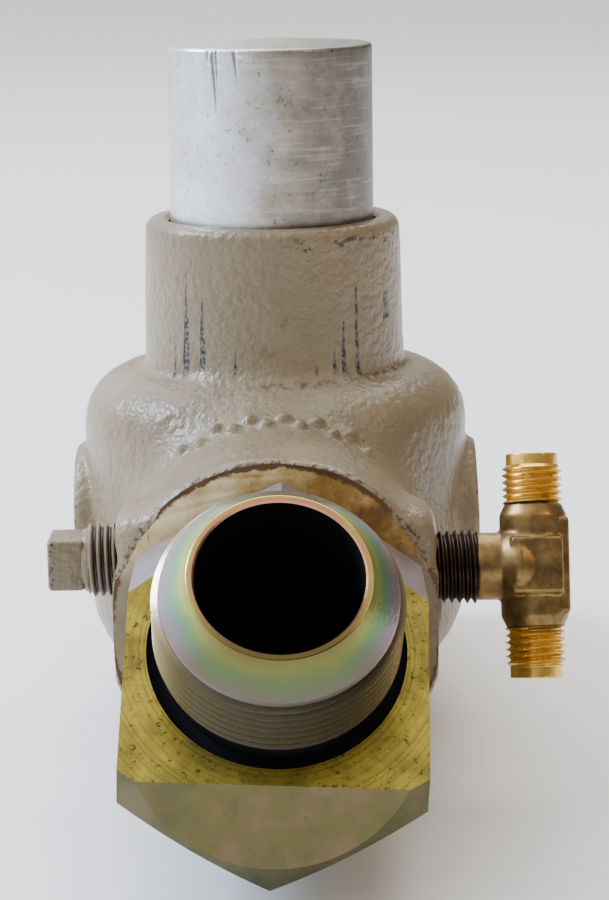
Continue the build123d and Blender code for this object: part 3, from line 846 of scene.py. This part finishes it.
# %% The flare's own axis
flare = mounts["inlet_flare"]
flare_up = Vector(flare["axis"]).normalized()
FLARE_THREAD_MIDDLE = 10.994     # from the milled face to the middle of the thread
flare_foot = Vector(flare["pos_m"]) / MM - flare_up * FLARE_THREAD_MIDDLE
clocking = math.atan2(flare_up.x, flare_up.z)
print("flare foot", [round(value, 1) for value in flare_foot], "clocking", math.degrees(clocking))


# %% Chromate finishes
UNDERSIDE = (0, -0.7071, -0.7071)       # square to the flare's axis, towards the floor


def chromate(name, tones, speck_colour, speck_from, roughness, rings=False):
    """Chromated zinc: cloudy tones with specks, and on a milled face the tool's rings."""
    material, place = new_finish(name)
    tone = place.cloud(7, 5, 0.6).tones(*tones)
    specks = place.cloud(1.0, 5, 0.72).ramp(speck_from, speck_from + 0.09)
    colour = (specks * 0.85).choose(tone, speck_colour)
    relief = place.cloud(0.9, 4)
    if rings:
        off_axis, _ = around_flare(place)
        sweep = off_axis.node("ShaderNodeCombineXYZ", links={0: off_axis})
        streaks = sweep.cloud(0.8, 4, 0.7).ramp(0.45, 0.62)
        colour = (streaks * 0.45).choose(colour, "#57491f")
        relief = relief + (off_axis * 2.4).maths("SINE") * 0.25
    return coated(material, {"Base Color": colour, "Metallic": 1.0, "Roughness": roughness,
                             "Normal": relief.bump(0.45, 0.05)})


def around_flare(place):
    """How far a place is from the flare's axis, and how far up it is."""
    arm = place.vector("SUBTRACT", flare_foot)
    height = arm.vector("DOT_PRODUCT", flare_up, "Value")
    reach = arm.vector("LENGTH", out="Value")
    return (reach * reach - height * height).over(0.0).maths("POWER", 0.5), height


def rainbow_flare():
    """Iridescent chromate: colours run down the cone; painted sheen at its sides, painted shade
    below.
    """
    material, place = new_finish("chromate_on_flare")
    off_axis, height = around_flare(place)
    arm = place.vector("SUBTRACT", flare_foot)
    # Painted sheen: the colours shift on the cone's left and right sides, as iridescence does at a
    # glancing view.
    side_sheen = abs(arm.split()[0]).ramp(8.0, 20.0) * 0.4 + 0.12
    shade = (off_axis.spread(0.0, 1.0, 14.0, 21.0) * 0.80 + (place.cloud(7, 5, 0.6) - 0.5) * 0.35
             + side_sheen * 0.30)
    film_and_painted_light = shade.tones((0.04, "#b98265"), (0.12, "#b89a5c"), (0.28, "#bac66e"), (0.42, "#86b681"),
                       (0.56, "#8ba396"), (0.70, "#a994a6"), (0.84, "#ab9478"), (1.0, "#a39a62"))
    specks = place.cloud(1.0, 5, 0.72).ramp(0.68, 0.77)
    colour = (specks * 0.85).choose(film_and_painted_light, "#5a5448")
    # Painted shade: the flare's underside, towards the floor, is coloured a darker olive.
    underside_shade = arm.vector("DOT_PRODUCT", UNDERSIDE, "Value").ramp(0.0, 14.0) * 0.85
    colour = underside_shade.choose(colour, "#4b4829")
    # Painted shade on the thread: roots darker than crests, partly oil, and the thread muted more
    # towards the right, away from the window.
    oily = off_axis.ramp(20.5, 19.6).choose("#8d866c", "#4b4638")
    thread_side_shade = height.ramp(18.4, 17.6) * arm.split()[0].spread(0.0, 0.60, -15.0, 4.0)
    return coated(material, {"Base Color": thread_side_shade.choose(colour, oily), "Metallic": 1.0,
                             "Roughness": 0.22, "Normal": place.cloud(0.9, 4).bump(0.45, 0.05)})


milled_gold = chromate(
    "chromate_on_milled_face",
    [(0.30, "#7d6f3c"), (0.48, "#a09040"), (0.62, "#bba948"), (0.76, "#948046")],
    "#3d331c", 0.56, 0.38, rings=True)
end_olive = chromate("chromate_on_bar_end",
                     [(0.34, "#5d5a3d"), (0.50, "#69613f"), (0.62, "#74634a")],
                     "#473b2e", 0.63, 0.45)
# Painted shade: the lower flats and turned corners get a darker olive copy of the bar's chromate.
shaded_lower_olive = chromate("chromate_shaded_on_lower_faces",
                      [(0.36, "#4f523a"), (0.50, "#5b5a40"), (0.62, "#675d48")],
                      "#473b2e", 0.66, 0.42)
flat_lilac = chromate("chromate_on_bar_flats",
                      [(0.30, "#8f8791"), (0.50, "#a596a3"), (0.68, "#938d7f")],
                      "#5f5860", 0.64, 0.36)
flare_rainbow = rainbow_flare()
# Painted shade: the bores of the elbow and tee are coloured near black, with hardly any gloss.
dark_bore = mottled("painted_shade_in_bore", "#020202", "#050505", 2.0, 0.0, 1.0, specular=0.1)
# Painted shade: the relief groove round the flare's foot is coloured near black.
groove_dark = mottled("painted_shade_in_relief_groove", "#06070a", "#101218", 2.0, 0.0, 0.8, specular=0.1)
print("chromate finishes ready")

# %% [markdown]
# ### The elbow's shape
# It is cut from hexagonal bar, so it is modelled the same way: a six-sided prism, its corners
# turned off by a chamfered envelope, and the 45 degree face milled across it. The flare spigot
# is turned round its own sloping axis, with a screw thread wound on.

# %% The bar
HEX_ACROSS_FLATS = 50.8
HEX_BACK = 68.1
HEX_FRONT = 117.7
TURNED_FACE_RADIUS = 24.3
COLLAR_RADIUS = 24.5
ELBOW_BORE = 13.7
SHANK_END = 49.8
SHANK_RADIUS = PORT_THREAD_RADIUS - 0.1
SHANK_NECK_RADIUS = 19.3    # behind the O-ring
hex_corner = HEX_ACROSS_FLATS / math.sqrt(3)
corner_drop = (hex_corner - TURNED_FACE_RADIUS) * math.tan(math.radians(30))

bar = bmesh.new()
bmesh.ops.create_cone(bar, cap_ends=True, segments=6, radius1=hex_corner, radius2=hex_corner,
                      depth=HEX_FRONT - HEX_BACK)
corner = max((vertex.co for vertex in bar.verts), key=lambda spot: spot.y)
corner_up = Matrix.Rotation(math.atan2(corner.x, corner.y), 4, "Z")
bar = moved(bar, Matrix.Translation((0, 0, (HEX_FRONT + HEX_BACK) / 2)) @ corner_up)
envelope = turned([(HEX_ACROSS_FLATS / 2, HEX_BACK), (hex_corner + 0.1, HEX_BACK + corner_drop),
                   (hex_corner + 0.1, HEX_FRONT - corner_drop),
                   (TURNED_FACE_RADIUS, HEX_FRONT)], steps=144)
bar = combined(bar, envelope, "INTERSECT")
bar = united(bar, cylinder(COLLAR_RADIUS, neck_face, HEX_BACK + 1))
upright = (Matrix.Translation((0, 0, port_z)) @ Matrix.Rotation(clocking, 4, "Y")
           @ Matrix.Translation((0, 0, -port_z)))
bar = moved(lying(bar, -1), upright)
everything = bar.verts[:] + bar.edges[:] + bar.faces[:]
bmesh.ops.bisect_plane(bar, geom=everything, dist=1e-5, plane_co=flare_foot, plane_no=flare_up,
                       clear_outer=True)
bmesh.ops.edgeloop_fill(bar, edges=[edge for edge in bar.edges if edge.is_boundary])
bmesh.ops.recalc_face_normals(bar, faces=bar.faces)
print("bar", len(bar.faces), "faces")

# %% The flare spigot
FLARE_LENGTH = 25.1
FLARE_THREAD = 20.64
FLARE_MINOR = 19.35
THREAD_LOW, THREAD_HIGH = 4.1, 17.9
RELIEF_RADIUS, RELIEF_DEPTH = 21.8, 1.5
CONE_ANGLE = math.radians(37)
CONE_BASE = 19.4
NOSE_RADIUS = 14.9
cone_low = FLARE_LENGTH - (CONE_BASE - NOSE_RADIUS) / math.tan(CONE_ANGLE)
spigot = turned([(19.0, -6), (19.0, THREAD_LOW + 0.5), (FLARE_MINOR - 0.02, THREAD_LOW + 0.9),
                 (FLARE_MINOR - 0.02, THREAD_HIGH - 0.6),
                 (CONE_BASE + 0.15, THREAD_HIGH + 0.35, 0.2), (CONE_BASE, cone_low, 0.25),
                 (NOSE_RADIUS, FLARE_LENGTH, 0.35)], steps=144)
thread = threaded_rod(FLARE_THREAD, FLARE_MINOR, PORT_PITCH, THREAD_LOW - 0.5, THREAD_HIGH + 1,
                      steps=144)
thread_envelope = turned([(FLARE_MINOR, THREAD_LOW), (FLARE_THREAD + 0.05, THREAD_LOW + 0.9),
                          (FLARE_THREAD + 0.05, THREAD_HIGH - 0.9),
                          (FLARE_MINOR, THREAD_HIGH)], steps=144)
thread = combined(thread, thread_envelope, "INTERSECT")
spigot = united(spigot, thread)
along_flare = (Matrix.Translation(flare_foot)
               @ flare_up.to_track_quat("Z", "X").to_matrix().to_4x4())
groove = cylinder(RELIEF_RADIUS, -RELIEF_DEPTH, 1, steps=144)
bar = cut(bar, moved(groove, along_flare))
elbow = united(bar, moved(spigot, along_flare))
print("elbow before boring", len(elbow.faces), "faces")

# %% Shank and bores
shank = turned([(SHANK_RADIUS, SHANK_END, 0.6), (SHANK_RADIUS, neck_face - 3),
                (SHANK_NECK_RADIUS, neck_face - 3), (SHANK_NECK_RADIUS, neck_face + 0.5)])
elbow = united(elbow, moved(lying(shank, -1), upright))
to_bend = (flare_foot.z - port_z) / flare_up.z
bend = flare_foot - flare_up * to_bend      # where the two bores meet
through = cylinder(ELBOW_BORE, SHANK_END - 2, -bend.y)
elbow = cut(elbow, moved(lying(through, -1), upright))
bend_ball = bmesh.new()
bmesh.ops.create_uvsphere(bend_ball, u_segments=48, v_segments=24, radius=ELBOW_BORE)
elbow = cut(elbow, moved(bend_ball, Matrix.Translation(bend)))
flare_bore = turned([(ELBOW_BORE, -to_bend), (ELBOW_BORE, FLARE_LENGTH - 0.3),
                     (ELBOW_BORE + 0.8, FLARE_LENGTH + 0.5)])
elbow = cut(elbow, moved(flare_bore, along_flare))


def elbow_finish(face):
    """0 milled face, 1 bar end, 2 upper flats, 3 flare, 4 bore, 5 relief groove, 6 lower flats and
    corners (4-6 painted shade).
    """
    centre = face.calc_center_median()
    arm = centre - flare_foot
    height = arm.dot(flare_up)
    off_flare = (arm - flare_up * height).length
    off_port = math.hypot(centre.x, centre.z - port_z)
    along = face.normal.dot(flare_up)
    if abs(height) < 0.05 and along > 0.99:
        return 0
    if (-RELIEF_DEPTH - 0.1 < height < THREAD_LOW - 0.1
            and ELBOW_BORE + 1 < off_flare < RELIEF_RADIUS + 0.1):
        return 5
    in_flare_bore = off_flare < ELBOW_BORE + 0.2 and -to_bend - 1 < height < FLARE_LENGTH - 0.35
    in_shank_bore = off_port < ELBOW_BORE + 0.1 and centre.y > bend.y - 1
    if in_flare_bore or in_shank_bore or (centre - bend).length < ELBOW_BORE + 0.1:
        return 4
    if height > 0.1 and off_flare < 21:
        return 3
    if face.normal.y < -0.9:
        return 1
    return 2 if face.normal.z > 0.1 and abs(face.normal.y) < 0.2 else 6


elbow_finishes = [milled_gold, end_olive, flat_lilac, flare_rainbow, dark_bore, groove_dark,
                  shaded_lower_olive]
elbow = finished("chromated_elbow", elbow, elbow_finishes, "casting", "inlet_elbow", elbow_finish,
                 sharp=25, flat=(0, 1, 2, 5))

# %% [markdown]
# ## The pipe plug
# A square-head plug in the left gauge port, painted with the casting. Its 1/4 inch pipe thread
# has 18 threads to the inch and tapers 1 in 16, so the wound thread is drawn in towards its end.

# %% The plug
PIPE_PITCH = 25.4 / 18
PIPE_MINOR = 6.0
HEAD_SQUARE = 9.525
HEAD_LENGTH = 6.8
PIPE_ROOT = 21.2            # where pipe threads start, from the middle of the casting
plug_end = -plug_low.x
head_foot = plug_end - HEAD_LENGTH


def painted_thread():
    """Enamel that covers the crests of a thread and misses its oily roots."""
    material, place = new_finish("half_painted_thread")
    _, y, z = place.split()
    off_axis = (y - plug_axis.y).length_with(z - plug_axis.z)
    covered = (off_axis + place.cloud(1.6, 5, 0.7) * 0.5).ramp(6.45, 6.75)
    return coated(material, {"Base Color": covered.choose("#231b15", "#7d705c"),
                             "Roughness": 0.4, "Normal": place.cloud(0.9, 4).bump(0.6, 0.15)})


thread_paint = painted_thread()


def pipe_thread(low, high):
    """A tapered pipe thread, thickest at its high end."""
    rod = threaded_rod(PIPE_RADIUS, PIPE_MINOR, PIPE_PITCH, low, high, steps=72)
    for vertex in rod.verts:
        shrink = 1 - (high - vertex.co.z) / 32 / PIPE_RADIUS
        vertex.co.x *= shrink
        vertex.co.y *= shrink
    return rod


plug_shape = pipe_thread(PIPE_ROOT, head_foot - 0.6)
shoulder = turned([(5.9, 26), (5.9, head_foot + 0.6, 1.0)], steps=72)
plug_shape = united(plug_shape, shoulder)
half_head = HEAD_SQUARE / 2
head = slab((-half_head, -half_head, head_foot), (half_head, half_head, plug_end))
plug_shape = united(plug_shape, rounded(head, head.edges[:], 0.8))
to_left = (Matrix.Translation((0, plug_axis.y, plug_axis.z))
           @ Matrix.Rotation(-math.pi / 2, 4, "Y"))
plug = finished("painted_plug", moved(plug_shape, to_left), [plug_enamel, thread_paint], "casting",
                "pipe_plug", lambda face: int(face.calc_center_median().x > 1.0 - head_foot),
                sharp=30)

# %% [markdown]
# ## The branch tee
# The tee is hot-forged brass. Forging leaves rounded corners, a raised pad for the spanner, and
# a brown oxide; the thread ends are cut afterwards and stay bright. Brass keeps its gold colour
# where handled and is nearly black in the thread roots.


# %% Brass finishes
def brass(name, dark, middle, light, roughness, size_mm):
    """Oxidised or bright brass, cloudy at the given size."""
    material, place = new_finish(name)
    tone = place.cloud(size_mm, 6, 0.65).tones((0.3, dark), (0.5, middle), (0.7, light))
    specks = place.cloud(0.8, 4, 0.7).ramp(0.62, 0.72)
    return coated(material, {"Base Color": specks.choose(tone, "#33210f"), "Metallic": 0.9,
                             "Roughness": roughness, "Normal": place.cloud(0.7, 4).bump(0.5, 0.05)})


forged_brass = brass("oxidised_forged_brass", "#5b4a31", "#83693f", "#a8864d", 0.34, 4)
cut_brass = brass("bright_cut_brass", "#c99a3f", "#f0c763", "#dba845", 0.24, 3)
tarred_brass = brass("sealed_brass_thread", "#241c18", "#3a2d24", "#4c3a2c", 0.4, 2)

# %% The forging
FORGING_HALF = 11.5
ARM_RADIUS = 6.25           # run and branch
PIPE_THREAD_END = 37.2
TUBE_THREAD = 5.556
TUBE_MINOR = 4.75
TUBE_PITCH = 25.4 / 20
TUBE_THREAD_LENGTH = 7.0
PILOT_RADIUS = 4.8
PILOT_LENGTH = 2.2
TEE_BORE = 3.2
FORGING_VOXEL = 0.3
run_axis = (tee_upper - tee_lower).normalized()
along_run = (Matrix.Translation(tee_centre)
             @ Matrix.Rotation(-math.atan2(run_axis.y, run_axis.z), 4, "X"))
along_branch = (Matrix.Translation((0, tee_centre.y, tee_centre.z))
                @ Matrix.Rotation(math.pi / 2, 4, "Y"))

run = turned([(5.2, -FORGING_HALF), (ARM_RADIUS, -FORGING_HALF + 2.2, 0.8),
              (ARM_RADIUS, FORGING_HALF - 2.2, 0.8), (5.2, FORGING_HALF)])
pad = slab((-4.75, -7.0, -5.2), (4.75, 7.0, 5.2))
rounded(pad, pad.edges[:], 0.5, segments=3)
back_rib = slab((0, -4.6, -9.0), (ARM_RADIUS, 4.6, 9.0))
rounded(back_rib, back_rib.edges[:], 0.8, segments=3)
branch = turned([(ARM_RADIUS, PIPE_THREAD_END - 0.5, 0.8), (ARM_RADIUS, tee_centre.x)])
collar = turned([(5.5, tee_centre.x - 7.5), (8.2, tee_centre.x - 3.5, 2.0), (7.0, tee_centre.x)])
forging = one_skin(joined(moved(joined(run, pad, back_rib), along_run),
                          moved(joined(branch, collar), along_branch)), FORGING_VOXEL)
relax(forging, forging.verts[:], 3)
print("forging", len(forging.faces), "faces")


# %% Thread ends and bores
def tube_end():
    """One 7/16-20 tube end with its plain pilot, from the run's middle up."""
    low, high = FORGING_HALF - 0.6, FORGING_HALF + TUBE_THREAD_LENGTH
    wound = threaded_rod(TUBE_THREAD, TUBE_MINOR, TUBE_PITCH, low, high + 0.2, steps=72)
    guard = turned([(TUBE_THREAD, low), (TUBE_THREAD, high - 0.6),
                    (PILOT_RADIUS, high + 0.15)], steps=72)
    wound = combined(wound, guard, "INTERSECT")
    core, tip = TUBE_MINOR - 0.02, high + PILOT_LENGTH
    pilot = turned([(core, low - 1), (core, high - 0.5), (PILOT_RADIUS, high - 0.2),
                    (PILOT_RADIUS, tip, 0.25)],
                   steps=72)
    return united(wound, pilot)


tee_shape = united(forging, moved(pipe_thread(PIPE_ROOT, PIPE_THREAD_END), along_branch))
for flip in (0, math.pi):
    tube = moved(tube_end(), along_run @ Matrix.Rotation(flip, 4, "X"))
    tee_shape = united(tee_shape, tube)
for low, high, way in ((-22, 22, along_run), (20, tee_centre.x, along_branch)):
    tee_shape = cut(tee_shape, moved(cylinder(TEE_BORE, low, high, 48), way))


def tee_finish(face):
    """0 forging, 1 bright thread ends, 2 sealed pipe thread, 3 bore."""
    centre = face.calc_center_median()
    along = (centre - tee_centre).dot(run_axis)
    off_run = (centre - tee_centre - run_axis * along).length
    off_branch = math.hypot(centre.y - tee_centre.y, centre.z - tee_centre.z)
    in_branch_bore = off_branch < TEE_BORE + 0.02 and centre.x < tee_centre.x
    if off_run < TEE_BORE + 0.02 and abs(along) < 21 or in_branch_bore:
        return 3
    if centre.x < PIPE_THREAD_END + 0.01:
        return 2
    return 1 if abs(along) > FORGING_HALF + 0.2 else 0


tee_finishes = [forged_brass, cut_brass, tarred_brass, dark_bore]
tee = finished("brass_tee", tee_shape, tee_finishes, "casting", "branch_tee", tee_finish, sharp=30)

# %% [markdown]
# ## The pieces inside
# The rest of the assembly keeps its CAD shapes. They are turned parts, springs and rings, most
# of them hidden, and each gets the finish of its stock.

# %% Finishes for the carried-over parts
stock = {
    "nitrile_rubber": mottled("black_nitrile", "#0d0d0e", "#1b1b1c", 1.5, 0.0, 0.55),
    "spring_steel": mottled("oil_tempered_wire", "#26272b", "#4a4b50", 2.0, 0.9, 0.38),
    "machined_aluminium": mottled("turned_aluminium", "#b9bbbf", "#d0d2d5", 3.0, 1.0, 0.34),
    "stainless_steel": mottled("turned_stainless", "#9c9a96", "#b8b6b2", 3.0, 1.0, 0.28),
    "bronze_bushing": mottled("sintered_bronze", "#7a5527", "#a9793b", 1.0, 0.9, 0.45),
    "guide_band_plastic": mottled("natural_acetal", "#cfcabb", "#dedaca", 4.0, 0.0, 0.45),
    "machined_steel": mottled("oiled_turned_steel", "#5d5b58", "#86837e", 2.5, 1.0, 0.36),
}
slot_of = {part["node"]: part["material_slot"] for part in frame["record"]["subparts"]}
for node, cad_object in frame["nodes"].items():
    finish = stock.get(slot_of[node])
    if not finish:
        continue
    if not cad_object.material_slots:
        cad_object.data.materials.append(finish)
    for slot in cad_object.material_slots:
        slot.material = finish
print("finished CAD parts:", sum(slot in stock for slot in slot_of.values()))

# %% [markdown]
# ## Floor, light and camera
# A pale matt floor, a large cool window light from the left, a weak warm one from the right, a
# broad one overhead behind, and a sky brighter on the left. The camera stands half a metre off,
# a little above, with a long lens.

# %% Floor
FLOOR_HALF = 4.0            # metres
floor_shape = bmesh.new()
bmesh.ops.create_grid(floor_shape, x_segments=1, y_segments=1, size=FLOOR_HALF)
floor_mesh = bpy.data.meshes.new("floor")
floor_shape.to_mesh(floor_mesh)
floor_shape.free()
floor = in_scene("floor", floor_mesh)
floor_mesh.materials.append(mottled("pale_bench_top", "#f0f0f0", "#f5f5f4", 90.0, 0.0, 0.45, 0.01))


# %% Lights
def soft_light(name, place, aim, size, watts, colour):
    """A square area light that looks at a point."""
    lamp = bpy.data.lights.new(name, "AREA")
    lamp.size, lamp.energy = size, watts
    lamp.color = linear(colour)[:3]
    holder = in_scene(name, lamp)
    holder.location = place
    holder.rotation_euler = (Vector(aim) - Vector(place)).to_track_quat("-Z", "Y").to_euler()


middle = (0, -0.03, 0.06)
soft_light("window", (-0.95, 0.15, 0.9), middle, 0.45, 24, "#d3e2ff")
soft_light("room", (0.9, -0.6, 0.9), middle, 0.5, 3, "#ffe0b8")
soft_light("ceiling", (0.0, 0.9, 1.5), (0, 0.5, 0), 1.6, 26, "#ffffff")
sky = bpy.data.worlds.new("sky")
bpy.context.scene.world = sky
sky.use_nodes = True
background = sky.node_tree.nodes["Background"]
looking = Signal(sky.node_tree, sky.node_tree.nodes.new("ShaderNodeTexCoord").outputs["Generated"])
to_right, away, upward = looking.split()
side_share = to_right.ramp(-0.9, 0.8)
tint = side_share.tones((0.0, "#eef4ff"), (0.45, "#e8e8e8"), (1.0, "#c9beae"))
strength = (side_share.spread(2.1, 0.45) * away.spread(0.34, 1.0, -1.0, -0.2)
            + upward.spread(0.0, 0.6, 0.2, 0.9))
sky.node_tree.links.new(tint.output, background.inputs["Color"])
sky.node_tree.links.new(strength.output, background.inputs["Strength"])

# %% Camera
CAMERA_DISTANCE = 483.3     # from the barrel axis, along the floor
CAMERA_HEIGHT = 128.3       # above the port axis
CAMERA_SIDE = math.radians(0.484)
CAMERA_PAN = math.radians(0.202)
CAMERA_DIP = math.radians(13.0)
CAMERA_ROLL = math.radians(-0.864)
camera_data = bpy.data.cameras.new("camera")
camera_data.lens = 96.04
camera_data.sensor_width = 36.0
camera_data.shift_y = 0.0115
camera_data.clip_start = 0.05
camera = in_scene("camera", camera_data)
stand = Vector((CAMERA_DISTANCE * math.sin(CAMERA_SIDE), -CAMERA_DISTANCE * math.cos(CAMERA_SIDE),
                port_z + CAMERA_HEIGHT))
turn = (Matrix.Rotation(-CAMERA_PAN, 4, "Z") @ Matrix.Rotation(math.pi / 2 - CAMERA_DIP, 4, "X")
        @ Matrix.Rotation(CAMERA_ROLL, 4, "Z"))
camera.matrix_world = Matrix.Translation(stand * MM) @ turn
bpy.context.scene.camera = camera
